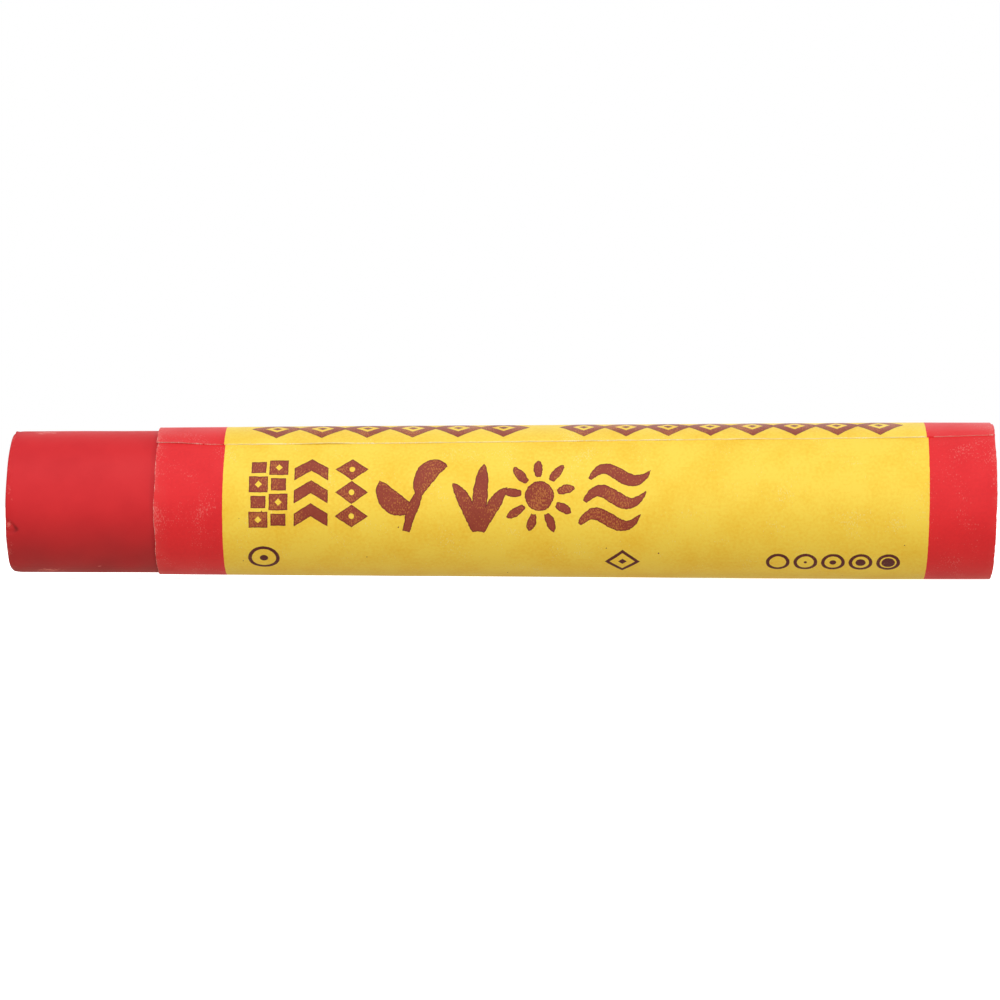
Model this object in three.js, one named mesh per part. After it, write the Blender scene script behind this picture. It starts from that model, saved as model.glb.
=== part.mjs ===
// A round oil pastel in a rolled paper sleeve, in millimetres.
// The stick lies along X, with its bare drawing tip at -X and its wrapped butt at +X. +Z is up, and the
// printed front of the sleeve faces -Y. The origin is on the surface that it lies on, under its middle.
import * as THREE from 'three';

// The cast stick: a slim taper that runs out just before the butt, so that it leaves its mould.
const stickLength = 70;
const tipRadius = 5.08;
const collarRadius = 5.1; // where the sleeve begins
const buttRadius = 5.425;
const bareLength = 10.6;
const tipEdgeRound = 0.4;
const buttEdgeRound = 0.35;
const edgeRoundSteps = 4;

// The sleeve: one sheet of label paper, rolled once round the stick and lapped over its own first edge.
const sleeveLength = stickLength - bareLength;
const paperThickness = 0.08;
const sleeveSlack = 0.045; // between the stick and the paper, all round
const lapGap = 0.03; // filled by the paste
const glueClearance = 0.005; // above and below the paste
const sleeveSteps = 10; // along the sleeve
const buttParallel = sleeveLength / sleeveSteps; // the last stretch, which doesn't taper

// Angles round the stick start at its front, -Y, and rise towards the top.
const facets = 48;
const facetAngle = 360 / facets;
const firstStation = facetAngle / 2; // so that the stick rests on a facet and not on an edge
const flapAtCollar = 50; // the free edge of the paper, over the upper front
const flapAtButt = 55;
const flapSteps = 2; // from the free edge to the first station that is the same all the way along
const facetsBelowLap = 8; // from the front up to that station
const lapFacets = 6;
const lapStart = firstStation + facetsBelowLap * facetAngle;
const hiddenEdge = lapStart + lapFacets * facetAngle; // where the sheet begins, under the lap
const rampSteps = 3; // stations in which the paper comes down off its own first edge
const lapLift = paperThickness + lapGap;

// The strip of paste lies under the lap, short of its edges.
const glueFrom = lapStart;
const glueTo = hiddenEdge - facetAngle;
const glueInset = 1.2; // from each end of the sleeve

const axisHeight = buttRadius + sleeveSlack + paperThickness;
const groundedHeight = axisHeight * Math.cos(THREE.MathUtils.degToRad(firstStation));

const pastelRed = new THREE.MeshStandardMaterial({ color: 0xd6363a, roughness: 0.55, metalness: 0 });
const printedPaper = new THREE.MeshStandardMaterial({ color: 0xfbd858, roughness: 0.8, metalness: 0 });
const driedPaste = new THREE.MeshStandardMaterial({ color: 0xe9dfc4, roughness: 0.5, metalness: 0 });

// Radius of the stick at a distance from its tip, without the rounded ends.
function stickRadius(fromTip) {
  if (fromTip <= bareLength) {
    return THREE.MathUtils.mapLinear(fromTip, 0, bareLength, tipRadius, collarRadius);
  }
  const taperEnd = stickLength - buttParallel;
  const tapering = Math.min(fromTip, taperEnd);
  return THREE.MathUtils.mapLinear(tapering, bareLength, taperEnd, collarRadius, buttRadius);
}

// A quarter round between an end face and the side, from startTurn to endTurn in quarter turns.
function roundedEdge(centreRadius, centreAlong, round, startTurn, endTurn) {
  const points = [];
  for (let step = 0; step <= edgeRoundSteps; step += 1) {
    const turn = THREE.MathUtils.lerp(startTurn, endTurn, step / edgeRoundSteps) * (Math.PI / 2);
    const radius = centreRadius + round * Math.cos(turn);
    points.push(new THREE.Vector2(radius, centreAlong + round * Math.sin(turn)));
  }
  return points;
}

// Turned about the X axis, and lifted so that the whole part stands on Z = 0.
function buildStick() {
  const taperEnd = stickLength - buttParallel;
  const profile = [
    new THREE.Vector2(0, 0),
    ...roundedEdge(stickRadius(0) - tipEdgeRound, tipEdgeRound, tipEdgeRound, -1, 0),
    new THREE.Vector2(stickRadius(bareLength), bareLength),
    new THREE.Vector2(stickRadius(taperEnd), taperEnd),
    ...roundedEdge(buttRadius - buttEdgeRound, stickLength - buttEdgeRound, buttEdgeRound, 0, 1),
    new THREE.Vector2(0, stickLength),
  ];
  const geometry = new THREE.LatheGeometry(profile, facets, THREE.MathUtils.degToRad(firstStation));
  geometry.rotateZ(-Math.PI / 2);
  const stick = new THREE.Mesh(geometry, pastelRed);
  stick.name = 'pastel_stick';
  stick.position.set(-stickLength / 2, 0, groundedHeight);
  return stick;
}

function flapAngle(fromTip) {
  return THREE.MathUtils.mapLinear(fromTip, bareLength, stickLength, flapAtCollar, flapAtButt);
}

// How far the sheet stands off its first turn: a full step over the lap, then down to nothing.
function lift(angle) {
  const rampEnd = hiddenEdge + rampSteps * facetAngle;
  return lapLift * (1 - THREE.MathUtils.smoothstep(angle, hiddenEdge, rampEnd));
}

// Bends a flat sheet round the stick. The sheet's X runs along the stick, its Y goes round it in whole
// steps, and its Z goes from 0 on its inner face to 1 on its outer one.
function rollSheet(sheet, angleAt, heightAt) {
  const position = sheet.getAttribute('position');
  for (let i = 0; i < position.count; i += 1) {
    const fromTip = position.getX(i);
    const angle = angleAt(Math.round(position.getY(i)), fromTip);
    const radius = stickRadius(fromTip) + sleeveSlack + heightAt(position.getZ(i), angle);
    const turn = THREE.MathUtils.degToRad(angle);
    position.setXYZ(i, fromTip - stickLength / 2, -radius * Math.cos(turn), radius * Math.sin(turn));
  }
  sheet.deleteAttribute('uv');
  sheet.computeVertexNormals();
  return sheet;
}

function flatSheet(from, to, steps) {
  const length = to - from;
  const sheet = new THREE.BoxGeometry(length, steps, 1, sleeveSteps, steps, 1);
  return sheet.translate((from + to) / 2, steps / 2, 0.5);
}

// From the free edge over the top, down the back, under, up the front and in under the lap.
function buildSleeve() {
  const steps = flapSteps + (360 + hiddenEdge - lapStart) / facetAngle;
  const angleAt = (step, fromTip) => {
    if (step < flapSteps) {
      return THREE.MathUtils.lerp(flapAngle(fromTip), lapStart, step / flapSteps);
    }
    return lapStart + (step - flapSteps) * facetAngle;
  };
  const heightAt = (depth, angle) => lift(angle) + depth * paperThickness;
  const geometry = rollSheet(flatSheet(bareLength, stickLength, steps), angleAt, heightAt);
  const sleeve = new THREE.Mesh(geometry, printedPaper);
  sleeve.name = 'paper_sleeve';
  sleeve.position.z = groundedHeight;
  return sleeve;
}

function buildGlue() {
  const steps = (glueTo - glueFrom) / facetAngle;
  const glueThickness = lapGap - 2 * glueClearance;
  const angleAt = (step) => glueFrom + step * facetAngle;
  const heightAt = (depth) => paperThickness + glueClearance + depth * glueThickness;
  const sheet = flatSheet(bareLength + glueInset, stickLength - glueInset, steps);
  const glue = new THREE.Mesh(rollSheet(sheet, angleAt, heightAt), driedPaste);
  glue.name = 'glue_seam';
  glue.position.z = groundedHeight;
  return glue;
}

const pastel = new THREE.Group();
pastel.add(buildStick(), buildSleeve(), buildGlue());
export default pastel;
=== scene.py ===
import math
import random

import bpy
import numpy as np
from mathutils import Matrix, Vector
from mathutils.geometry import delaunay_2d_cdt
from mathutils.kdtree import KDTree


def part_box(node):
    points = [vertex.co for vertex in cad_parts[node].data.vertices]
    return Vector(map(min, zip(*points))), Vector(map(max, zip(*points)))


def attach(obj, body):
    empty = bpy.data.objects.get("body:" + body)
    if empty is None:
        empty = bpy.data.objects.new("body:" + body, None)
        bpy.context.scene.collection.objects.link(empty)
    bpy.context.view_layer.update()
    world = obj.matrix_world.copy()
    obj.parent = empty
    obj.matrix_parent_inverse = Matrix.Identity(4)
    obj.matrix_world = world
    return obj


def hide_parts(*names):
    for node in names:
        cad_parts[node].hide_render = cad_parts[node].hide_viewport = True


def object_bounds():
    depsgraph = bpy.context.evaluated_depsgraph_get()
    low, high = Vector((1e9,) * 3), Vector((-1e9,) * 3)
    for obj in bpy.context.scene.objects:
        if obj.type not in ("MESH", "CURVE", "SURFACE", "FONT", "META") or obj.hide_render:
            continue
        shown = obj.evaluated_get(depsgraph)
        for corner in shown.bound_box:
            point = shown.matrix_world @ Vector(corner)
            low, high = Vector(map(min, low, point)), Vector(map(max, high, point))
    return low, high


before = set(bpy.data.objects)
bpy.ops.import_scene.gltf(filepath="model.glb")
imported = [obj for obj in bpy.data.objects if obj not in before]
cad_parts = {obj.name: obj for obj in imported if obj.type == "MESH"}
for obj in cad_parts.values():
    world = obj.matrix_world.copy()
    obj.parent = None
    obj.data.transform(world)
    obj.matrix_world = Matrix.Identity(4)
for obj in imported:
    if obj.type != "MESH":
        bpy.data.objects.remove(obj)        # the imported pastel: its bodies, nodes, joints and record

# Blender's own unit here is the metre. Sizes in the dictionaries are in millimetres and degrees.
# Degrees are counted round the stick from its front, -Y, up towards the top.
mm = 0.001
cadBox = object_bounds()
stickLow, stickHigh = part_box("pastel_stick")
sleeveLow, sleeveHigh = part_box("paper_sleeve")
axisHeight = (stickLow.z + stickHigh.z) / 2 / mm
stickLength = (stickHigh.x - stickLow.x) / mm
sleeveLength = (sleeveHigh.x - sleeveLow.x) / mm
bareLength = (sleeveLow.x - stickLow.x) / mm


def readOutline():
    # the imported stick's rings between its rounded ends, as distances from the tip and radii
    rounding = 0.39      # its end edges are rounded within this
    points = np.array([v.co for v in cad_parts["pastel_stick"].data.vertices]) / mm
    fromTip = np.round(points[:, 0] - stickLow.x / mm, 2)
    radius = np.hypot(points[:, 1], points[:, 2] - axisHeight)
    rings = [ring for ring in np.unique(fromTip) if rounding < ring < stickLength - rounding]
    return rings, [radius[fromTip == ring].max() for ring in rings]


outlineRings, outlineRadii = readOutline()
tipRadius, buttRadius = outlineRadii[0], outlineRadii[-1]
meanRadius = sum(outlineRadii) / len(outlineRadii)
perDegree = math.radians(1) * meanRadius        # mm round the stick in one degree
print("frame loaded, stick", round(stickLength, 2), "mm long")


def smooth(value, low, high):
    t = np.clip((value - low) / (high - low), 0, 1)
    return t * t * (3 - 2 * t)


waveCount = 10       # waves added up in each unevenness


def ripples(along, degrees, seed, wavelength):
    # smooth unevenness that closes on itself round the stick, mostly between -2 and 2, from its own seed
    rng = random.Random(seed)
    total = 0
    for _ in range(waveCount):
        heading = rng.uniform(0, math.pi)
        length = wavelength * rng.uniform(0.6, 1.6)
        cycles = math.cos(heading) / length
        lobes = round(360 * perDegree * math.sin(heading) / length)
        turn = math.tau * cycles * along + lobes * np.radians(degrees)
        total = total + np.sin(turn + rng.uniform(0, math.tau))
    return total / math.sqrt(waveCount / 2)


def flatRipples(x, y, seed, wavelength):
    # the same on the stick's flat ends
    rng = random.Random(seed)
    total = 0
    for _ in range(waveCount):
        heading, length = rng.uniform(0, math.pi), wavelength * rng.uniform(0.6, 1.6)
        turn = math.tau / length * (x * math.cos(heading) + y * math.sin(heading))
        total = total + np.sin(turn + rng.uniform(0, math.tau))
    return total / math.sqrt(waveCount / 2)


def onAxis(fromTip, degrees, radius):
    # a place on or in the stick, in metres in the shared frame
    turn = np.radians(degrees)
    x = stickLow.x + fromTip * mm
    return np.stack([x, -radius * np.cos(turn) * mm, (axisHeight + radius * np.sin(turn)) * mm], axis=-1)


def linear(hexColour):
    # sRGB hex to linear RGBA
    channels = [int(hexColour[i:i + 2], 16) / 255 for i in (1, 3, 5)]
    return [c / 12.92 if c <= 0.04045 else ((c + 0.055) / 1.055) ** 2.4 for c in channels] + [1]


def addNode(tree, kind, inputs=None, **settings):
    # an input is a value, or another node's output to link from
    node = tree.nodes.new(kind)
    for name, value in settings.items():
        setattr(node, name, value)
    for socket, value in (inputs or {}).items():
        if isinstance(value, bpy.types.NodeSocket):
            tree.links.new(value, node.inputs[socket])
        else:
            node.inputs[socket].default_value = value
    return node


def placed(name, data):
    # a new object in the scene that shows a mesh, a light or a camera
    thing = bpy.data.objects.new(name, data)
    bpy.context.scene.collection.objects.link(thing)
    return thing


def newMaterial(name):
    material = bpy.data.materials.new(name)
    material.use_nodes = True
    material.node_tree.nodes.clear()
    return material, material.node_tree


def finishMaterial(tree, shader):
    addNode(tree, "ShaderNodeOutputMaterial", {"Surface": shader.outputs["BSDF"]})


def blendColour(tree, factor, first, second):
    # a colour mix has its factor at 0 and its two colours at 6 and 7
    return addNode(tree, "ShaderNodeMix", {0: factor, 6: first, 7: second}, data_type="RGBA").outputs[2]


# Oil pastel: pigment and chalk in wax and mineral oil, cast. It gives a deep, slightly translucent red
# with a soft waxy shine, a fine grain where chalk breaks the surface, and paler rubs where it was handled.
pastelWax = {
    # the last two colours are painted shade: in the nick and by the paper, and on the underside
    "red": "#d9292f", "deep": "#d1252c", "rub": "#ea7a74", "nickAndPaperShade": "#7d1a20", "undersideShade": "#7f3033",
    "cloud": 4.0,        # size of the slow changes of colour
    "grain": 0.16,       # chalk grains are about 0.01 mm, drawn this coarse so that they show
    "pit": 0.9,          # spacing of the small casting pits
    "relief": 0.008,     # height of the grain and depth of the pits
    "ior": 1.45, "specular": 0.24, "roughness": (0.5, 0.58),
}


def oilPastel():
    p = pastelWax
    material, tree = newMaterial("oil pastel, cast red wax")
    place = addNode(tree, "ShaderNodeTexCoord").outputs["Object"]
    cloud = addNode(tree, "ShaderNodeTexNoise",
                    {"Vector": place, "Scale": 1 / (p["cloud"] * mm), "Detail": 3}).outputs["Fac"]
    grain = addNode(tree, "ShaderNodeTexNoise",
                    {"Vector": place, "Scale": 1 / (p["grain"] * mm), "Detail": 2}).outputs["Fac"]
    wear = addNode(tree, "ShaderNodeAttribute", attribute_name="wear").outputs["Fac"]
    nickAndPaperShade = addNode(tree, "ShaderNodeAttribute", attribute_name="nickAndPaperShade").outputs["Fac"]
    toDeep = addNode(tree, "ShaderNodeMapRange",
                     {"Value": cloud, "From Min": 0.4, "From Max": 0.65}).outputs[0]
    colour = blendColour(tree, toDeep, linear(p["red"]), linear(p["deep"]))
    # rubs catch on the grain, so they break up at their edges
    caught = addNode(tree, "ShaderNodeMath", {0: grain, 1: wear}, operation="ADD").outputs[0]
    toRub = addNode(tree, "ShaderNodeMapRange",
                    {"Value": caught, "From Min": 0.75, "From Max": 1.2, "To Max": 0.8}).outputs[0]
    # painted shade: darker on the side that the stick lies on
    undersideShade = addNode(tree, "ShaderNodeAttribute", attribute_name="undersideShade").outputs["Fac"]
    colour = blendColour(tree, undersideShade, colour, linear(p["undersideShade"]))
    colour = blendColour(tree, toRub, colour, linear(p["rub"]))
    # painted shade on the steep side of the nick and against the paper's edge
    colour = blendColour(tree, nickAndPaperShade, colour, linear(p["nickAndPaperShade"]))
    pits = addNode(tree, "ShaderNodeTexVoronoi", {"Vector": place, "Scale": 1 / (p["pit"] * mm)})
    pitDepth = addNode(tree, "ShaderNodeMapRange",
                       {"Value": pits.outputs["Distance"], "From Min": 0.04, "From Max": 0.12}).outputs[0]
    height = addNode(tree, "ShaderNodeMath", {0: grain, 1: 0.6, 2: pitDepth}, operation="MULTIPLY_ADD")
    bump = addNode(tree, "ShaderNodeBump",
                   {"Height": height.outputs[0], "Distance": p["relief"] * mm, "Strength": 0.8})
    matt = addNode(tree, "ShaderNodeMapRange",
                   {"Value": cloud, "From Min": 0.3, "From Max": 0.7,
                    "To Min": p["roughness"][0], "To Max": p["roughness"][1]}).outputs[0]
    shader = addNode(tree, "ShaderNodeBsdfPrincipled",
                     {"Base Color": colour, "Roughness": matt, "Normal": bump.outputs[0], "IOR": p["ior"],
                      "Specular IOR Level": p["specular"]})
    finishMaterial(tree, shader)
    return material


# Label paper: thin uncoated litho paper, inked in one pass a colour. It gives a soft sheen, faint clouds
# where the fibres take more ink, hair-fine fibre lines, and pin-holes where the ink skipped.
labelPaper = {
    "cloud": 3.2, "mottle": 0.22,    # sizes of the slow and the quick changes in the ink's thickness
    "fibre": (1.1, 0.09),            # length and width; a fibre is about 0.03 mm wide, drawn wider to show
    "bend": 0.7,                     # how far a fibre bends aside
    "skip": (0.09, 0.16),            # pin-holes, drawn about twice their real size so that they show
    "patch": 2.4,                    # size of the patches where the pin-holes crowd
    "relief": 0.012,                 # depth of the fibres
    "ior": 1.4, "specular": 0.3, "sheen": 0.1,
    "inks": {
        # name: colour, colour where it lies thick, colour of the skips, share of skips, roughness
        "yellow": ("#fedd50", "#f8ca3a", "#fde788", 0.13, 0.6),
        "red": ("#e92a30", "#e0262d", "#ec6a66", 0.17, 0.55),
        "brown": ("#9b4331", "#8d3829", "#c57a3a", 0.30, 0.52),
        "squeezed": ("#7f3028", "#742a24", "#9b4331", 0.20, 0.5),
        "maroon": ("#622826", "#562121", "#8f5a3c", 0.18, 0.52),
        "rubbed": ("#ee8a84", "#e8605c", "#f6cfc2", 0.25, 0.65),
        # a pale cut edge beside the yellow, lightened further as a painted highlight
        "paleEdgeHighlight": ("#fff1b4", "#ffe68a", "#fffbe8", 0.25, 0.65),
        "bare": ("#f8eedc", "#f0e4cd", "#fbf6ea", 0.30, 0.75),
    },
}


def inkedPaper(ink):
    p = labelPaper
    plain, thick, skipped, share, roughness = p["inks"][ink]
    material, tree = newMaterial("uncoated label paper, " + ink)
    flat = addNode(tree, "ShaderNodeUVMap", uv_map="flat").outputs["UV"]
    cloud = addNode(tree, "ShaderNodeTexNoise",
                    {"Vector": flat, "Scale": 1 / p["cloud"], "Detail": 4}).outputs["Fac"]
    # fibres lie mostly along the sheet, and bend a little
    drift = addNode(tree, "ShaderNodeTexNoise", {"Vector": flat, "Scale": 0.6}).outputs["Color"]
    bent = addNode(tree, "ShaderNodeVectorMath", {0: drift, 1: (p["bend"], p["bend"], 0), 2: flat},
                   operation="MULTIPLY_ADD").outputs[0]
    run = addNode(tree, "ShaderNodeMapping",
                  {"Vector": bent, "Scale": (1 / p["fibre"][0], 1 / p["fibre"][1], 1)}).outputs[0]
    fibre = addNode(tree, "ShaderNodeTexNoise", {"Vector": run, "Scale": 1, "Detail": 2}).outputs["Fac"]
    spots = addNode(tree, "ShaderNodeMapping",
                    {"Vector": flat, "Scale": (1 / p["skip"][0], 1 / p["skip"][1], 1)}).outputs[0]
    skip = addNode(tree, "ShaderNodeTexNoise", {"Vector": spots, "Scale": 1, "Detail": 1}).outputs["Fac"]
    patch = addNode(tree, "ShaderNodeTexNoise",
                    {"Vector": flat, "Scale": 1 / p["patch"], "Detail": 2}).outputs["Fac"]
    mottle = addNode(tree, "ShaderNodeTexNoise",
                     {"Vector": flat, "Scale": 1 / p["mottle"], "Detail": 3}).outputs["Fac"]
    mixed = addNode(tree, "ShaderNodeMath", {0: mottle, 1: 0.7, 2: cloud},
                    operation="MULTIPLY_ADD").outputs[0]
    toThick = addNode(tree, "ShaderNodeMapRange",
                      {"Value": mixed, "From Min": 0.74, "From Max": 1.14}).outputs[0]
    colour = blendColour(tree, toThick, linear(plain), linear(thick))
    lines = addNode(tree, "ShaderNodeMapRange",
                    {"Value": fibre, "From Min": 0.62, "From Max": 0.75, "To Max": 0.5}).outputs[0]
    colour = blendColour(tree, lines, colour, linear(thick))
    # where it is worn, it is paler and has more pin-holes
    worn = addNode(tree, "ShaderNodeAttribute", attribute_name="worn").outputs["Fac"]
    tired = addNode(tree, "ShaderNodeMath", {0: worn, 1: 0.4, 2: skip}, operation="MULTIPLY_ADD").outputs[0]
    patchy = addNode(tree, "ShaderNodeMath", {0: patch, 1: 0.8, 2: tired},
                     operation="MULTIPLY_ADD").outputs[0]
    paled = addNode(tree, "ShaderNodeMath", {0: worn, 1: mottle}, operation="MULTIPLY").outputs[0]
    colour = blendColour(tree, paled, colour, linear(skipped))
    edge = 1.25 - share
    toSkip = addNode(tree, "ShaderNodeMapRange",
                     {"Value": patchy, "From Min": edge, "From Max": edge + 0.1, "To Max": 0.7}).outputs[0]
    colour = blendColour(tree, toSkip, colour, linear(skipped))
    relief = addNode(tree, "ShaderNodeMath", {0: fibre, 1: 0.6, 2: cloud},
                     operation="MULTIPLY_ADD").outputs[0]
    bump = addNode(tree, "ShaderNodeBump",
                   {"Height": relief, "Distance": p["relief"] * mm, "Strength": 0.7})
    matt = addNode(tree, "ShaderNodeMapRange",
                   {"Value": cloud, "From Min": 0.3, "From Max": 0.7,
                    "To Min": roughness - 0.06, "To Max": roughness + 0.08}).outputs[0]
    shader = addNode(tree, "ShaderNodeBsdfPrincipled",
                     {"Base Color": colour, "Roughness": matt, "Normal": bump.outputs[0], "IOR": p["ior"],
                      "Specular IOR Level": p["specular"], "Sheen Weight": p["sheen"],
                      "Sheen Roughness": 0.5})
    finishMaterial(tree, shader)
    return material


# Dried starch paste: brushed on wet and squeezed flat. It gives a thin, horn-coloured, half-shiny film.
starchPaste = {
    "pale": "#e8dcb8", "horn": "#cdb885",
    "streak": 0.7,       # size of the brush's streaks
    "relief": 0.01, "ior": 1.5, "roughness": 0.38,
}


def driedPaste():
    p = starchPaste
    material, tree = newMaterial("dried starch paste")
    place = addNode(tree, "ShaderNodeTexCoord").outputs["Object"]
    streak = addNode(tree, "ShaderNodeTexNoise",
                     {"Vector": place, "Scale": 1 / (p["streak"] * mm), "Detail": 3}).outputs["Fac"]
    colour = blendColour(tree, streak, linear(p["pale"]), linear(p["horn"]))
    bump = addNode(tree, "ShaderNodeBump",
                   {"Height": streak, "Distance": p["relief"] * mm, "Strength": 0.6})
    shader = addNode(tree, "ShaderNodeBsdfPrincipled",
                     {"Base Color": colour, "Roughness": p["roughness"], "Normal": bump.outputs[0],
                      "IOR": p["ior"]})
    finishMaterial(tree, shader)
    return material


# Studio board: card rolled with matt white paint. It gives an even white with a very faint peel, and it
# glows a little, so that the stick's shadow and its colour on the board stay faint.
boardPaint = {
    "high": "#fafaf8", "low": "#f5f5f3",
    "peel": 2.5,         # size of the roller's dimples
    "glow": 0.8, "roughness": 0.9,
}


def whiteBoard():
    p = boardPaint
    material, tree = newMaterial("painted card, matt white")
    place = addNode(tree, "ShaderNodeTexCoord").outputs["Object"]
    peel = addNode(tree, "ShaderNodeTexNoise",
                   {"Vector": place, "Scale": 1 / (p["peel"] * mm)}).outputs["Fac"]
    colour = blendColour(tree, peel, linear(p["high"]), linear(p["low"]))
    shader = addNode(tree, "ShaderNodeBsdfPrincipled",
                     {"Base Color": colour, "Roughness": p["roughness"],
                      "Emission Color": (1, 1, 1, 1), "Emission Strength": p["glow"]})
    finishMaterial(tree, shader)
    return material


stick = {
    "around": 288,                   # steps round it
    "faceRings": 16, "roundSteps": 5,    # rings on each end face and over each rounded rim
    "ringGaps": (0.06, 0.2, 0.8),    # at the tip's rim, on the bare end and under the paper
    "rimLength": 1.2,                # the first gap ends this far from the tip
    "pastPaper": 1.5,                # and the second this far under the paper
    "tipRound": 0.12, "buttRound": 0.3,
    "dip": 0.008,                    # how far the cast side wanders in from true
    "bevel": (0.09, 0.75),           # the handled rim at the tip: depth and length
    "burr": (0.13, 88, 2.0, 0.2),    # a crumb raised at the rim: height, degrees, spread, length
    "chip": (0.1, -21, 7, 0.75),     # a nick in the rim: depth, degrees, spread, length
    "faceRelief": 0.03,              # how far the end faces have sunk
    "outOfSquare": 0.1,              # how far out of square the tip is cut
    "tipScuff": (0.25, 0.11), "buttScuff": (0.2, 0.09),    # how pale each end face is, and how unevenly
    "rimScuff": 0.3,                 # and how pale their rims are
    "undersideShade": 0.43,                   # how dark the painted shade on the side that it lies on is
    "paperEdgeShade": (0.1, 0.16, 0.22),  # painted shade by the paper's edge: how far from it, how wide, how dark
    # rubs: distance from the tip, degrees, length and spread
    "rubs": [(2.7, -75, 0.9, 5), (2.3, 76, 1.0, 4), (6.4, -65, 0.12, 1.3), (8.2, 84, 0.8, 3),
             (0.32, -18, 0.09, 1.6)],
}


def stickProfile():
    # from the middle of the tip's face, over its rim, along the side and in over the butt
    s = stick
    tipRound, buttRound = s["tipRound"], s["buttRound"]
    turns = np.linspace(0, math.pi / 2, s["roundSteps"] + 1)
    tipFace = [(0, r) for r in np.linspace(0, tipRadius - tipRound, s["faceRings"] + 1)[1:]]
    tipRim = [(tipRound * (1 - math.sin(t)), tipRadius - tipRound * (1 - math.cos(t)))
              for t in turns[::-1][1:]]
    rimGap, bareGap, coveredGap = s["ringGaps"]
    coveredFrom = bareLength + s["pastPaper"]
    rim = np.arange(tipRound + rimGap, s["rimLength"], rimGap)
    bare = np.arange(s["rimLength"], coveredFrom, bareGap)
    covered = np.arange(coveredFrom, stickLength - buttRound, coveredGap)
    side = [(x, float(np.interp(x, outlineRings, outlineRadii))) for x in (*rim, *bare, *covered)]
    buttRim = [(stickLength - buttRound * (1 - math.sin(t)), buttRadius - buttRound * (1 - math.cos(t)))
               for t in turns]
    buttFace = [(stickLength, r)
                for r in np.linspace(buttRadius - buttRound, 0, s["faceRings"] + 1)[1:-1]]
    return np.array(tipFace + tipRim + side + buttRim + buttFace)


def angleFrom(degrees, centre):
    # between -180 and 180
    return (degrees - centre + 180) % 360 - 180


def onEnd(degrees, radius):
    # a place on an end face, across and up from its middle
    return radius * np.cos(np.radians(degrees)), radius * np.sin(np.radians(degrees))


def faceShare(radius):
    # 1 on an end face, falling to 0 at its rim
    return 1 - smooth(radius, 0.9 * tipRadius, 0.99 * tipRadius)


def chipReach(fromTip, degrees):
    # 0 in the middle of the nick, 1 at its edge
    _, centre, spread, length = stick["chip"]
    uneven = 1 + 0.1 * ripples(fromTip, degrees, 19, 0.9)
    return np.hypot(fromTip / length, angleFrom(degrees, centre) / spread) * uneven


def wornRadius(fromTip, degrees, radius):
    s = stick
    dip = s["dip"] * (1 + 0.5 * ripples(fromTip, degrees, 11, 6))
    bevelDepth, bevelLength = s["bevel"]
    rim = np.clip(1 - fromTip / bevelLength, 0, 1) ** 2
    bevel = bevelDepth * rim * (1 + 0.45 * ripples(fromTip, degrees, 12, 2.5))
    height, centre, spread, length = s["burr"]
    burr = height * np.exp(-(angleFrom(degrees, centre) / spread) ** 2 - (fromTip / length) ** 2)
    # the nick is deepest near its edge, so it has a steep lip
    nick = chipReach(fromTip, degrees)
    chip = s["chip"][0] * (0.5 + 0.5 * smooth(nick, 0.2, 0.8)) * (1 - smooth(nick, 0.72, 1.06))
    onSide = smooth(radius, 0.8 * tipRadius, 0.97 * tipRadius)
    return radius - np.clip(dip, 0, None) * onSide - (bevel + chip - burr) * onSide


def faceHeave(fromTip, degrees, radius):
    # the faces are cast against a plate, and have sunk a little in the middle as they cooled
    inward = 1 - smooth(radius, 0.5 * tipRadius, 0.98 * tipRadius)
    across, upward = onEnd(degrees, radius)
    uneven = stick["faceRelief"] * (0.9 * inward + 0.5 + 0.3 * flatRipples(across, upward, 14, 2.4))
    sink = np.clip(uneven, 0, None) * faceShare(radius)
    heave = np.where(fromTip < 1e-6, sink, np.where(fromTip > stickLength - 1e-6, -sink, 0))
    # the tip was cut a little out of square
    outOfSquare = 0.1 + np.sin(np.radians(degrees)) * radius / tipRadius
    return heave + stick["outOfSquare"] * outOfSquare * (1 - smooth(fromTip, 0.5, 4))


def rubAmount(fromTip, degrees, radius):
    # the end faces are scuffed, the tip's rim is handled, and the side has a few rubs
    s = stick
    across, upward = onEnd(degrees, radius)
    onFace = faceShare(radius)
    pale, uneven = s["tipScuff"]
    tipScuff = pale + uneven * flatRipples(across, 0.7 * upward, 20, 1.1)
    pale, uneven = s["buttScuff"]
    buttScuff = pale + uneven * flatRipples(across, upward, 26, 1.7)
    scuffed = np.where(fromTip < 0.01, tipScuff, buttScuff)
    handled = s["rimScuff"] * np.clip(1 - fromTip / 0.9, 0, 1)
    handled = handled * (0.6 + 0.4 * ripples(fromTip, degrees, 15, 1.8))
    faced = (fromTip < 0.01) | (fromTip > stickLength - 0.01)
    amount = np.where(faced, onFace * scuffed + (1 - onFace) * s["rimScuff"], handled)
    for along, centre, length, spread in s["rubs"]:
        apart = ((fromTip - along) / length) ** 2 + (angleFrom(degrees, centre) / spread) ** 2
        broken = 0.7 + 0.3 * ripples(fromTip, degrees, 16, 0.5)
        amount = amount + (1 - onFace) * np.exp(-apart) * broken
    return np.clip(amount, 0, 1)


def nickAndPaperShadeAmount(fromTip, degrees):
    # painted shade on the steep far side of the nick, and in a ring against the paper's edge
    centre = stick["chip"][1]
    edge = (chipReach(fromTip, degrees) - 0.9) / 0.15
    lip = np.exp(-edge ** 2 - (angleFrom(degrees, centre - 1) / 3.5) ** 2)
    away, width, dark = stick["paperEdgeShade"]
    ring = np.exp(-((fromTip - bareLength + away) / width) ** 2)
    return 0.8 * lip + dark * ring * np.clip(1 + 0.4 * ripples(fromTip, degrees, 18, 2), 0, 1.5)


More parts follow.
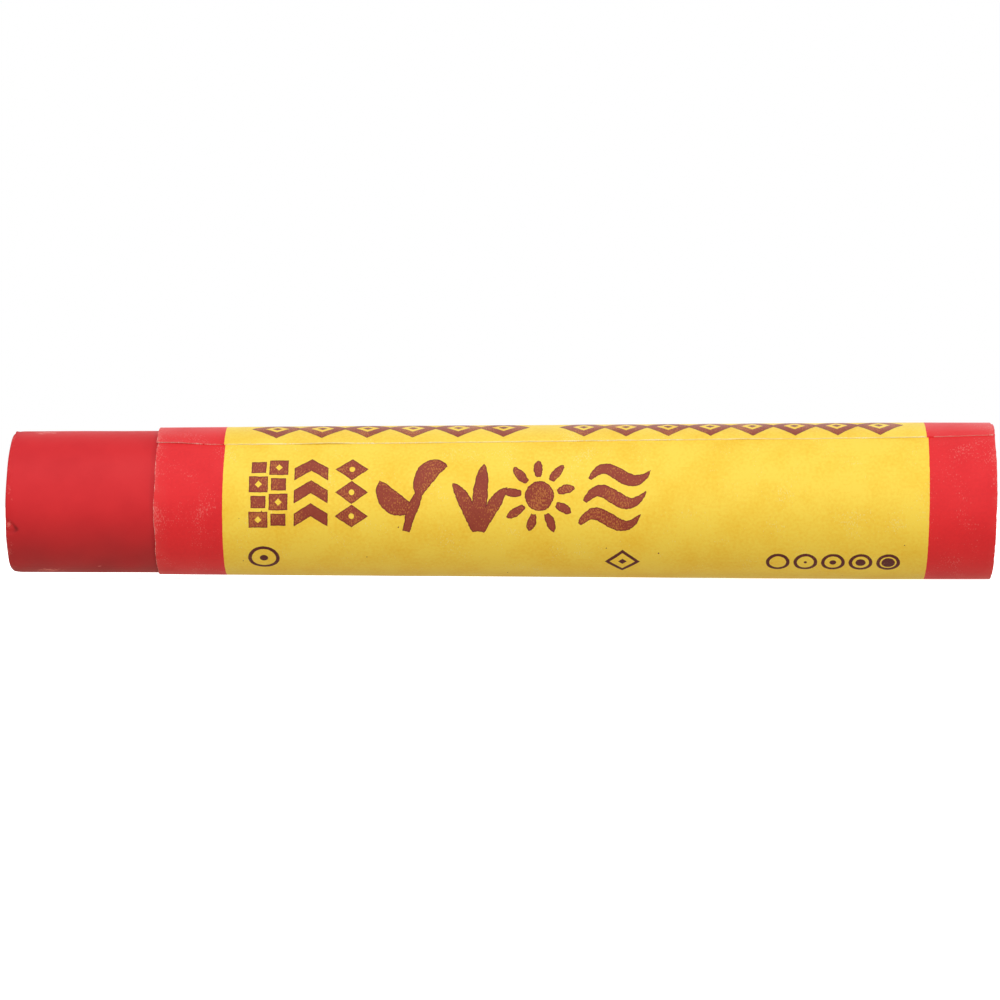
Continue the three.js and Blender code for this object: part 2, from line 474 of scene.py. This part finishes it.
def undersideShadeAmount(fromTip, degrees, radius):
    # painted shade: the side that it lies on is darker towards the bottom
    under = smooth(-np.sin(np.radians(degrees)), -0.05, 1.0)
    under = under * smooth(radius, 0.9 * tipRadius, tipRadius)
    return stick["undersideShade"] * under * np.clip(1 + 0.07 * ripples(fromTip, degrees, 17, 3), 0, 1.6)


def buildStick():
    s = stick
    profile = stickProfile()
    degrees = np.arange(s["around"]) * 360 / s["around"]
    fromTip, grid = np.meshgrid(profile[:, 0], degrees, indexing="ij")
    radius = np.repeat(profile[:, 1:2], s["around"], axis=1)
    worn = wornRadius(fromTip, grid, radius)
    sunk = fromTip + faceHeave(fromTip, grid, radius)
    points = onAxis(sunk, grid, worn).reshape(-1, 3)
    # one more point in the middle of each end face
    middle = faceHeave(np.array([0.0, stickLength]), np.zeros(2), np.zeros(2)) + [0, stickLength]
    centres = onAxis(middle, np.zeros(2), np.zeros(2))
    rings, around = grid.shape
    faces = []
    for ring in range(rings - 1):
        for step in range(around):
            following = (step + 1) % around
            a, b = ring * around + step, ring * around + following
            faces.append((a, a + around, b + around, b))
    tipCentre, buttCentre = rings * around, rings * around + 1
    last = (rings - 1) * around
    for step in range(around):
        following = (step + 1) % around
        faces.append((tipCentre, step, following))
        faces.append((buttCentre, last + following, last + step))
    mesh = bpy.data.meshes.new("stick_body")
    mesh.from_pydata(np.vstack([points, centres]).tolist(), [], faces)
    mesh.shade_smooth()
    amounts = {"wear": rubAmount(fromTip, grid, radius), "nickAndPaperShade": nickAndPaperShadeAmount(fromTip, grid),
               "undersideShade": undersideShadeAmount(fromTip, grid, radius)}
    for name, amount in amounts.items():
        values = mesh.attributes.new(name, "FLOAT", "POINT")
        values.data.foreach_set("value", np.append(amount.ravel(), [0, 0]).astype(np.float32))
    mesh.materials.append(oilPastel())
    piece = placed("stick_body", mesh)
    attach(piece, "stick")
    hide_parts("pastel_stick")


buildStick()
print("stick cast")


sheet = {
    "paper": 0.08,                   # thickness
    "slack": 0.045, "lapGap": 0.03,  # between the stick and the paper, and between the lap's two layers
    "hiddenEdge": 108.75,            # degrees, the edge under the lap
    "ramp": 22.5,                    # degrees that the paper takes to climb over that edge
    # the free edge, as share of the sleeve's length and degrees: cut by hand, so not quite straight
    "freeEdge": [(0, 53.5), (0.07, 49.8), (0.35, 50.8), (0.6, 52.6), (0.9, 54), (1, 57.6)],
    # a straight sheet on a tapered stick wanders: mm along it per radian, and per radian squared
    "wander": (0.072, 0.0126),
    "cockle": 0.006, "cockleSize": 7,    # dried paste pulls the paper into slow waves: height and size
    # past the paste the free edge is pressed down, and it springs up again in places: how far, over how
    # many degrees
    "pressed": (0.024, 7), "lift": (0.03, 5),
    "thumbed": (0.04, 0.24, 2.2),    # wear of the flap: all over, more at the bare end, over what length
    "scuffed": (0.4, 0.2, 0.3),      # wear of the two cut ends, and over what length
    "cellAlong": 0.75, "cellAround": 0.4, "edgeStep": 0.25,    # sizes of the mesh
    "inkStep": 0.11,                 # and of the steps along an ink edge
    "bands": (4.84, 54.67),          # where the first red band ends and the second starts
    "squeeze": 0.07,                 # width of the dark line round a heavy mark
}
inkOrder = list(labelPaper["inks"])


def freeTurn(along):
    # degrees of the free edge, one turn below the lap that it closes
    shares, degrees = zip(*sheet["freeEdge"])
    wander = 0.12 * ripples(along, 0, 21, 6) + 0.05 * ripples(along, 0, 22, 1.2)
    return np.interp(along / sleeveLength, shares, degrees) + wander - 360


def paperRadius(along, turn, height):
    # height is above the paper's inner face
    s = sheet
    fromTip = bareLength + along
    base = np.interp(fromTip, outlineRings, outlineRadii) + s["slack"]
    over = s["hiddenEdge"] - 360
    lap = (s["paper"] + s["lapGap"]) * (1 - smooth(turn, over, over + s["ramp"]))
    cockle = s["cockle"] * np.clip(1 + 0.6 * ripples(along, turn, 23, s["cockleSize"]), 0, None)
    pastEdge = turn - freeTurn(along)
    sunk, reach = s["pressed"]
    pressed = sunk * (1 - smooth(pastEdge, 0, reach))
    rise, reach = s["lift"]
    sprung = np.clip(ripples(along, 0, 24, 7) - 0.4, 0, None)
    lift = rise * np.clip(1 - pastEdge / reach, 0, 1) ** 2 * sprung
    return base + lap + cockle - pressed + lift + height


def wornAmount(along, turn):
    # the flap has been thumbed, most of all by the bare end, and every cut edge is a little scuffed
    flap = 1 - smooth(turn - freeTurn(along), 15, 50)
    overall, atEnd, reach = sheet["thumbed"]
    thumbed = flap * (overall + atEnd * np.exp(-(along / reach) ** 2))
    first, last, reach = sheet["scuffed"]
    edges = first * np.exp(-(along / reach) ** 2) + last * np.exp(-((sleeveLength - along) / reach) ** 2)
    return np.clip((thumbed + edges) * (0.9 + 0.35 * ripples(along, turn, 25, 1.2)), 0, 1)


def sheetPoints(along, around, height):
    # the flat sheet's points, rolled round the stick
    turn = around / perDegree
    skew, bend = sheet["wander"]
    shifted = along + skew * np.radians(turn) + bend * np.radians(turn) ** 2
    return onAxis(bareLength + shifted, turn, paperRadius(along, turn, height))


def sheetNormals(along, around, height):
    step = 0.02          # from a short step along the sheet and one round it
    alongWay = sheetPoints(along + step, around, height) - sheetPoints(along - step, around, height)
    aroundWay = sheetPoints(along, around + step, height) - sheetPoints(along, around - step, height)
    normal = np.cross(alongWay, aroundWay)
    return normal / np.linalg.norm(normal, axis=1, keepdims=True)


def walked(points, step):
    # the same closed outline with a point at least every step
    found = []
    for (ax, ay), (bx, by) in zip(points, points[1:] + points[:1]):
        pieces = max(1, math.ceil(math.hypot(bx - ax, by - ay) / step))
        found += [(ax + (bx - ax) * i / pieces, ay + (by - ay) * i / pieces) for i in range(pieces)]
    return found


def rough(points, seed, wobble):
    # ink spreads into the fibres, so no printed edge is quite clean
    rng = random.Random(seed)
    points = walked(points, sheet["inkStep"])
    found, drift = [], 0
    for i, (x, y) in enumerate(points):
        (ax, ay), (bx, by) = points[i - 1], points[(i + 1) % len(points)]
        length = math.hypot(bx - ax, by - ay) or 1
        drift = 0.55 * drift + 0.45 * rng.uniform(-1, 1)
        push = wobble * 2 * drift
        found.append((x + (by - ay) / length * push, y - (bx - ax) / length * push))
    return found


def inset(points, depth):
    # the same outline that far inside itself, where it runs anticlockwise
    found = []
    for i, (x, y) in enumerate(points):
        (ax, ay), (bx, by) = points[i - 1], points[(i + 1) % len(points)]
        length = math.hypot(bx - ax, by - ay) or 1
        found.append((x - (by - ay) / length * depth, y + (bx - ax) / length * depth))
    return found


# Marks are plain ornament, with places along the sleeve and round it from the front.
ornament = {
    "chains": [(6.9, 26.3, 6), (28.9, 52.9, 8)],     # where each starts and ends, and how many lozenges
    "chainEdges": (57.5, 91),                        # degrees
    "rowEdges": (-1.85, 3.15),                       # of the blocks, roofs and lozenges
    "blocks": (6.7, 1.42, 1.34),                     # start, pitch and width
    "roofs": 11.1, "lozenges": 13.98,
    "footing": -2.1,                                 # the line that the bold marks stand on
    "sprout": 15.95, "grass": 21.2, "sun": (27.25, 0.4), "waves": 30.1,
    "ring": (7.7, -4.45), "openLozenge": (33.15, -4.65),
    "dots": (44.15, -4.65, 1.95, 5),                 # the first one's place, the pitch and how many
    "specks": 34,                                    # stray specks of ink
}


def box(x, y, width, height):
    return [(x, y), (x + width, y), (x + width, y + height), (x, y + height)]


def lozenge(x, y, width, height):
    return [(x, y - height / 2), (x + width / 2, y), (x, y + height / 2), (x - width / 2, y)]


def disc(x, y, radius, sides=36):
    return [(x + radius * math.cos(math.tau * i / sides), y + radius * math.sin(math.tau * i / sides))
            for i in range(sides)]


def roof(x, y, width, height, thick):
    half = width / 2
    return [(x - half, y), (x, y + height), (x + half, y), (x + half, y + thick), (x, y + height + thick),
            (x - half, y + thick)]


def brush(points, width, thinFrom, thinTo, steps=16):
    # one loaded stroke along a curve that three or four points pull, thick in the middle
    curve = []
    for i in range(steps + 1):
        t = i / steps
        line = [Vector(p) for p in points]
        while len(line) > 1:
            line = [a.lerp(b, t) for a, b in zip(line, line[1:])]
        curve.append(line[0])
    left, right = [], []
    for i, point in enumerate(curve):
        t = i / steps
        heading = (curve[min(i + 1, steps)] - curve[max(i - 1, 0)]).normalized()
        side = Vector((-heading.y, heading.x))
        belly = (1 - thinFrom * (1 - t)) * math.sin(math.pi * t) ** 0.6
        share = thinFrom + (thinTo - thinFrom) * t + belly
        left.append(point + side * width / 2 * share)
        right.append(point - side * width / 2 * share)
    return [tuple(p) for p in right + left[::-1]]


def blockMarks():
    # two columns of blocks, of which every other one is small and the rest have an opening
    low, high = ornament["rowEdges"]
    start, pitch, width = ornament["blocks"]
    marks = []
    rise = (high - low) / 4
    for row in range(4):
        for column in range(2):
            x, y = start + column * pitch, low + row * rise
            smaller = 0.28 if (row + column) % 2 else 0.0
            block = box(x + smaller / 2, y + smaller / 2, width - smaller, rise - 0.1 - smaller)
            marks.append(("brown", block, 0.014))
            if not smaller:
                opening = lozenge(x + width / 2, low + (row + 0.46) * rise, 0.5, 0.5)
                marks.append(("yellow", opening, 0.01))
    return marks


def rowMarks():
    # three roofs, and three lozenges with a hole in each
    low = ornament["rowEdges"][0]
    x = ornament["lozenges"]
    marks = []
    for row in range(3):
        marks.append(("brown", roof(ornament["roofs"], low + 0.1 + row * 1.62, 2.4, 0.72, 0.92), 0.014))
    for row in range(3):
        y = low + 0.84 + row * 1.66
        marks.append(("brown", lozenge(x, y, 2.35, 1.62), 0.014))
        marks.append(("yellow", disc(x, y, 0.2, 14), 0.01))
    return marks


def sproutMark(x, y):
    return [
        brush([(x + 1.9, y), (x + 2.2, y + 1.4), (x + 2.9, y + 2.9)], 0.62, 0.8, 0.3),
        brush([(x + 2.45, y + 1.7), (x + 0.6, y + 1.5), (x, y + 3.6)], 1.55, 0.1, 0.0),
        brush([(x + 2.75, y + 2.4), (x + 3.1, y + 4.9), (x + 4.75, y + 4.6)], 1.5, 0.1, 0.0),
    ]


def grassMark(x, y):
    return [
        brush([(x + 1.55, y), (x + 1.1, y + 2.0), (x - 0.1, y + 3.4)], 0.95, 0.5, 0.0),
        brush([(x + 1.75, y), (x + 1.8, y + 2.6), (x + 2.1, y + 4.8)], 1.05, 0.5, 0.0),
        brush([(x + 1.95, y), (x + 2.6, y + 1.9), (x + 3.75, y + 3.1)], 0.9, 0.5, 0.0),
    ]


def sunMark(x, y):
    rays = 9
    marks = [disc(x, y, 1.02, 40)]
    for i in range(rays):
        turn = math.tau * (i + 0.3) / rays
        c, s = math.cos(turn), math.sin(turn)
        out = 2.55 + 0.2 * (i % 2)
        bend = (x + 1.95 * c - 0.12 * s, y + 1.95 * s + 0.12 * c)
        marks.append(brush([(x + 1.3 * c, y + 1.3 * s), bend, (x + out * c, y + out * s)], 0.62, 0.5, 0.0))
    return marks


def waveMark(x, y):
    marks = []
    for row in range(3):
        base = y + 0.75 + row * 1.55
        lean = 0.35 * row
        marks.append(brush([(x + lean, base - 0.2), (x + 1.5 + lean, base + 2.1),
                            (x + 2.6 + lean, base - 1.9), (x + 4.3 + lean, base + 0.5)],
                           0.95, 0.3, 0.0, 22))
    return marks


def bandMarks():
    # the red at both ends, printed past the edges that the sheet is cut to
    low, tall, left, right = -31, 43, 1, 8
    firstEnd, secondStart = sheet["bands"]
    return [("red", box(-left, low, left + firstEnd, tall), 0.008),
            ("red", box(secondStart, low, right, tall), 0.008)]


def chainMarks():
    # two chains of open lozenges, each with a small one in it, along the flap
    turn = -360 * perDegree          # the flap lies one turn below the front
    low, high = (turn + degrees * perDegree for degrees in ornament["chainEdges"])
    middle, tall = (low + high) / 2, high - low
    marks = []
    for start, end, count in ornament["chains"]:
        pitch = (end - start) / count
        for i in range(count):
            x = start + (i + 0.5) * pitch
            marks += [("brown", lozenge(x, middle, pitch * 1.16, tall * 1.04), 0.016),
                      ("yellow", lozenge(x, middle, pitch * 0.52, tall * 0.46), 0.014),
                      ("brown", lozenge(x, middle, pitch * 0.22, tall * 0.2), 0.012)]
    return marks


def boldMarks():
    # across the middle of the front
    o = ornament
    foot = o["footing"]
    outlines = (sproutMark(o["sprout"], foot) + grassMark(o["grass"], foot) + sunMark(*o["sun"])
                + waveMark(o["waves"], foot))
    return [("brown", outline, 0.03) for outline in outlines]


def fineMarks():
    # along the bottom: a ring with a dot, an open lozenge, and rings with growing dots
    x, y = ornament["ring"]
    marks = [("maroon", disc(x, y, 1.12), 0.01), ("yellow", disc(x, y, 0.86), 0.01),
             ("maroon", disc(x, y, 0.3, 18), 0.01)]
    x, y = ornament["openLozenge"]
    marks += [("maroon", lozenge(x, y, 2.5, 2.3), 0.01), ("yellow", lozenge(x, y, 1.8, 1.65), 0.01),
              ("maroon", lozenge(x, y, 0.6, 0.56), 0.01)]
    start, y, pitch, count = ornament["dots"]
    for i in range(count):
        x = start + pitch * i
        marks += [("maroon", disc(x, y, 0.84), 0.01), ("yellow", disc(x, y, 0.6, 24), 0.01)]
        if i:
            marks.append(("maroon", disc(x, y, 0.12 * i, 16), 0.008))
    return marks


def edgeMarks():
    # slivers along two of the cut edges, where the ink has rubbed thin, and a paler one along the yellow of
    # the free edge, which is a painted highlight
    past = 0.4           # they start this far outside the sheet
    arounds = np.arange(-30, 11, sheet["edgeStep"])
    cut = [(float(endCut(y, 33)), float(y)) for y in arounds]
    sliver = [(x + 0.012, y) for x, y in cut] + [(x - past, y) for x, y in cut[::-1]]
    marks = [("rubbed", sliver, 0.014)]
    alongs = np.arange(0, sleeveLength + 0.2, sheet["edgeStep"])
    free = [(float(x), float(freeTurn(x)) * perDegree) for x in alongs]
    firstEnd, secondStart = sheet["bands"]
    # along the yellow, a wider pale sliver: a painted highlight on the flap's edge
    stretches = [("rubbed", -1, firstEnd, 0.005), ("paleEdgeHighlight", firstEnd, secondStart, 0.035),
                 ("rubbed", secondStart, sleeveLength + 1, 0.005)]
    for ink, start, end, reach in stretches:
        run = [(x, y) for x, y in free if start + 0.1 < x < end - 0.1]
        sliver = [(x, y - past) for x, y in run] + [(x, y + reach) for x, y in run[::-1]]
        marks.append((ink, sliver, 0.02))
    return marks


def speckMarks():
    # anywhere on the sheet but close to its edges
    rng = random.Random(39)
    marks = []
    for _ in range(ornament["specks"]):
        x, y = rng.uniform(6, 54), rng.uniform(-26, 9)
        marks.append(("squeezed", disc(x, y, rng.uniform(0.03, 0.065), 7), 0.012))
    return marks


def printedMarks():
    # ink, outline and how rough its edge is, printed in this order
    return (bandMarks() + chainMarks() + blockMarks() + rowMarks() + boldMarks() + fineMarks()
            + edgeMarks() + speckMarks())


def endCut(around, seed):
    # how far a cut end wanders from straight
    return 0.016 * ripples(0.0, around / perDegree, seed, 3) + 0.008 * ripples(around, 0.0, seed + 1, 0.7)


def sheetOutline():
    # the four cut edges, anticlockwise as seen from outside
    s = sheet
    hidden = s["hiddenEdge"] * perDegree
    alongs = np.arange(0, sleeveLength, s["edgeStep"])
    low = [(x, float(freeTurn(x)) * perDegree) for x in (*alongs, sleeveLength)]
    rises = np.arange(low[-1][1] + s["edgeStep"], hidden, s["edgeStep"])
    right = [(sleeveLength + endCut(y, 31), y) for y in rises]
    top = [(x, hidden) for x in np.arange(sleeveLength, 0, -s["cellAlong"])]
    fall = np.arange(hidden, low[0][1] + s["edgeStep"], -s["edgeStep"])
    left = [(endCut(y, 33), y) for y in fall]
    return [(float(x), float(y)) for x, y in low + right + top + left]


def insideOf(outline, xs, ys):
    # which of the points lie inside a closed outline, by counting the sides to their right
    inside = np.zeros(len(xs), bool)
    for (ax, ay), (bx, by) in zip(outline, outline[1:] + outline[:1]):
        if ay == by:
            continue
        crosses = (ay > ys) != (by > ys)
        inside ^= crosses & (xs < (bx - ax) * (ys - ay) / (by - ay) + ax)
    return inside


def laidOut(outline, marks, cellAlong, cellAround):
    # triangles of the flat sheet, with every ink edge in them, and the ink of each
    clear = 0.09         # the grid keeps this far from the ink edges, so that no triangle is a sliver
    points, edges = [], []
    outlines = [outline] + [mark for _, mark in marks]
    for closed in outlines:
        first = len(points)
        points += closed
        edges += [(first + i, first + (i + 1) % len(closed)) for i in range(len(closed))]
    taken = KDTree(len(points))
    for i, (x, y) in enumerate(points):
        taken.insert((x, y, 0), i)
    taken.balance()
    xs, ys = zip(*outline)
    columns = np.arange(min(xs) + cellAlong / 2, max(xs), cellAlong)
    rows = np.arange(min(ys) + cellAround / 2, max(ys), cellAround)
    gridX, gridY = (axis.ravel() for axis in np.meshgrid(columns, rows))
    inside = insideOf(outline, gridX, gridY)
    for x, y in zip(gridX[inside], gridY[inside]):
        if taken.find((x, y, 0))[2] > clear:
            points.append((float(x), float(y)))
    border = list(range(len(outline)))
    verts, _, faces, *_ = delaunay_2d_cdt([Vector(p) for p in points], edges, [border], 1, 1e-5, False)
    flat = np.array([tuple(v) for v in verts])
    faces = np.array([f for f in faces if len(f) == 3])
    centres = flat[faces].mean(axis=1)
    keep = insideOf(outline, centres[:, 0], centres[:, 1])
    faces, centres = faces[keep], centres[keep]
    inks = np.zeros(len(faces), int)
    for ink, mark in marks:
        low, high = np.min(mark, axis=0), np.max(mark, axis=0)
        near = np.flatnonzero(((centres > low) & (centres < high)).all(axis=1))
        inked = near[insideOf(mark, centres[near, 0], centres[near, 1])]
        # a heavy mark's ink stays inside its dark line
        if ink == "brown":
            inked = inked[inks[inked] == inkOrder.index("squeezed")]
        inks[inked] = inkOrder.index(ink)
    used, faces = np.unique(faces, return_inverse=True)
    return flat[used], faces.reshape(-1, 3), inks


def sheetMesh(name, flat, faces, inks, low, high):
    # both faces of the sheet and the cut edge between them, as one closed skin
    count = len(flat)
    upper = sheetPoints(flat[:, 0], flat[:, 1], high)
    lower = sheetPoints(flat[:, 0], flat[:, 1], low)
    sides = {}
    for (a, b, c), ink in zip(faces.tolist(), inks.tolist()):
        sides[(a, b)] = sides[(b, c)] = sides[(c, a)] = ink
    rim = [(a, b) for a, b in sides if (b, a) not in sides]
    walls = [(b, a, a + count, b + count) for a, b in rim]
    # the cut edge is paler than the ink beside it, but for runs of ink here and there; beside the yellow it
    # is lightened further, as painted light against the shade under the flap
    yellow, rubbed, paleEdgeHighlight, bare = (inkOrder.index(ink) for ink in ("yellow", "rubbed", "paleEdgeHighlight", "bare"))
    inked = ripples(flat[[a for a, _ in rim], 0], 0, 35, 1.1) > 0.35
    wallInks = [paleEdgeHighlight if sides[side] in (yellow, paleEdgeHighlight) else sides[side] if run else rubbed
                for side, run in zip(rim, inked)]
    polygons = faces.tolist() + (faces[:, ::-1] + count).tolist() + walls
    mesh = bpy.data.meshes.new(name)
    mesh.from_pydata(np.vstack([upper, lower]).tolist(), [], polygons)
    mesh.shade_smooth()
    # the back isn't printed
    materials = inks.tolist() + [bare] * len(faces) + wallInks
    mesh.polygons.foreach_set("material_index", materials)
    corners = np.zeros(len(mesh.loops), np.int32)
    mesh.loops.foreach_get("vertex_index", corners)
    worn = mesh.attributes.new("worn", "FLOAT", "POINT")
    amount = np.tile(wornAmount(flat[:, 0], flat[:, 1] / perDegree), 2)
    worn.data.foreach_set("value", amount.astype(np.float32))
    uv = mesh.uv_layers.new(name="flat")
    uv.data.foreach_set("uv", flat[corners % count].astype(np.float32).ravel())
    upperNormals = sheetNormals(flat[:, 0], flat[:, 1], high)
    lowerNormals = -sheetNormals(flat[:, 0], flat[:, 1], low)
    normals = np.vstack([upperNormals, lowerNormals])[corners]
    # both faces are shaded smooth and the cut edge flat
    wallCorners = 4 * len(walls)
    facing = np.array([mesh.polygons[i].normal for i in range(2 * len(faces), len(polygons))])
    normals[-wallCorners:] = np.repeat(facing, 4, axis=0)
    mesh.normals_split_custom_set(normals.tolist())
    return mesh


def buildSleeve():
    s = sheet
    marks, heavy = [], []
    for i, (ink, mark, wobble) in enumerate(printedMarks()):
        outline = rough(mark, 40 + i, wobble)
        if ink == "brown":
            # the block squeezes its ink out to a darker line round each mark, or round those that touch
            marks.append(("squeezed", outline))
            heavy.append((ink, inset(outline, s["squeeze"])))
            continue
        marks += heavy + [(ink, outline)]
        heavy = []
    flat, faces, inks = laidOut(sheetOutline(), marks, s["cellAlong"], s["cellAround"])
    print("sheet laid out in", len(faces), "triangles")
    mesh = sheetMesh("paper_label", flat, faces, inks, 0, s["paper"])
    for ink in inkOrder:
        mesh.materials.append(inkedPaper(ink))
    piece = placed("paper_label", mesh)
    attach(piece, "sleeve")
    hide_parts("paper_sleeve")


buildSleeve()
print("sleeve printed and rolled")


# The paste under the lap: a film brushed on in one stroke, so its edges wander.
paste = {
    "thick": 0.01, "clear": 0.003,   # thickness, and how far it stands off the paper under it
    "from": 64, "to": 100,           # degrees
    "inset": 1.2,                    # how far it stops short of the sheet's two ends
    "wander": 0.35, "wave": 5,       # how far the edges wander, and over what length
    "cell": 0.6, "edgeStep": 0.4,    # sizes of the mesh
}


def buildPaste():
    p = paste
    low, high = p["from"] * perDegree, p["to"] * perDegree
    start, end = p["inset"], sleeveLength - p["inset"]
    corners = box(start, low, end - start, high - low)
    outline = []
    for x, y in walked(corners, p["edgeStep"]):
        sway = p["wander"] * float(ripples(x, y / perDegree, 52, p["wave"]))
        outline.append((x + 0.4 * sway * (y - (low + high) / 2) / (high - low), y + 0.5 * sway))
    flat, faces, inks = laidOut(outline, [], p["cell"], p["cell"])
    seat = sheet["paper"] + p["clear"]
    mesh = sheetMesh("paste_film", flat, faces, inks, seat, seat + p["thick"])
    # one material all over, in place of the sheet's inks
    mesh.materials.append(driedPaste())
    mesh.polygons.foreach_set("material_index", [0] * len(mesh.polygons))
    piece = placed("paste_film", mesh)
    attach(piece, "sleeve")
    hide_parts("glue_seam")


buildPaste()
print("lap pasted")


# The studio: a pale board, soft lights far off and a camera level with the stick.
studio = {
    "boardRadius": 3.0,              # in metres
    "distance": 0.306,               # in metres, from the camera to the stick's axis
    "aside": 0.008,                  # in metres, how far the camera stands to the right of its middle
    "raise": 0.12, "aimLeft": 0.07,  # camera above the axis, and aimed left of the middle
    "frameWidth": 71.72,             # what the picture spans at the axis
    "sensor": 36,
    # light from the room: colour and strength, below and above
    "sky": ("#fff0dc", 0.56, "#ffffff", 0.46),
    # soft lights: direction from the object in degrees (round, up), how wide the light is, strength
    "lights": {"key": (-110, 54, 45, 1.06), "front": (-72, 2, 56, 1.34), "back": (60, 26, 70, 1.15)},
}


def layBoard():
    sides = 96
    radius, height = studio["boardRadius"], cadBox[0][2]
    rim = [(radius * math.cos(math.tau * i / sides), radius * math.sin(math.tau * i / sides), height)
           for i in range(sides)]
    mesh = bpy.data.meshes.new("studio_board")
    mesh.from_pydata([(0, 0, height)] + rim, [], [(0, 1 + i, 1 + (i + 1) % sides) for i in range(sides)])
    mesh.materials.append(whiteBoard())
    board = placed("studio_board", mesh)
    # it throws no light back, so the stick's underside stays in shade
    board.visible_diffuse = board.visible_glossy = False


def lightStudio():
    for name, (around, up, width, strength) in studio["lights"].items():
        light = bpy.data.lights.new(name, "SUN")
        light.angle, light.energy = math.radians(width), strength
        lamp = placed(name, light)
        turn, rise = math.radians(around), math.radians(up)
        way = Vector((math.cos(turn) * math.cos(rise), math.sin(turn) * math.cos(rise), math.sin(rise)))
        lamp.rotation_euler = (-way).to_track_quat("-Z", "Y").to_euler()
    # the room is white to look at and dimmer as a light
    world = bpy.data.worlds.new("studio")
    world.use_nodes = True
    tree = world.node_tree
    tree.nodes.clear()
    way = addNode(tree, "ShaderNodeTexCoord").outputs["Generated"]
    height = addNode(tree, "ShaderNodeSeparateXYZ", {0: way}).outputs["Z"]
    lowColour, low, highColour, high = studio["sky"]
    rise = addNode(tree, "ShaderNodeMapRange",
                   {"Value": height, "From Min": -0.5, "From Max": 0.5}).outputs[0]
    below, above = [c * low for c in linear(lowColour)], [c * high for c in linear(highColour)]
    sky = blendColour(tree, rise, below, above)
    seen = addNode(tree, "ShaderNodeLightPath").outputs["Is Camera Ray"]
    shader = addNode(tree, "ShaderNodeBackground", {"Color": blendColour(tree, seen, sky, (1, 1, 1, 1))})
    addNode(tree, "ShaderNodeOutputWorld", {"Surface": shader.outputs[0]})
    bpy.context.scene.world = world


def placeCamera():
    s = studio
    camera = bpy.data.cameras.new("camera")
    camera.sensor_width = s["sensor"]
    camera.lens = s["sensor"] * s["distance"] / (s["frameWidth"] * mm)
    camera.clip_start, camera.clip_end = 0.01, 20
    holder = placed("camera", camera)
    aim = math.atan2(s["aside"] + s["aimLeft"] * mm, s["distance"])
    holder.location = (s["aside"], -s["distance"], (axisHeight + s["raise"]) * mm)
    holder.rotation_euler = (math.radians(90), 0, aim)
    bpy.context.scene.camera = holder


layBoard()
lightStudio()
placeCamera()
bpy.context.scene.view_settings.view_transform = "Standard"
print("studio lit")
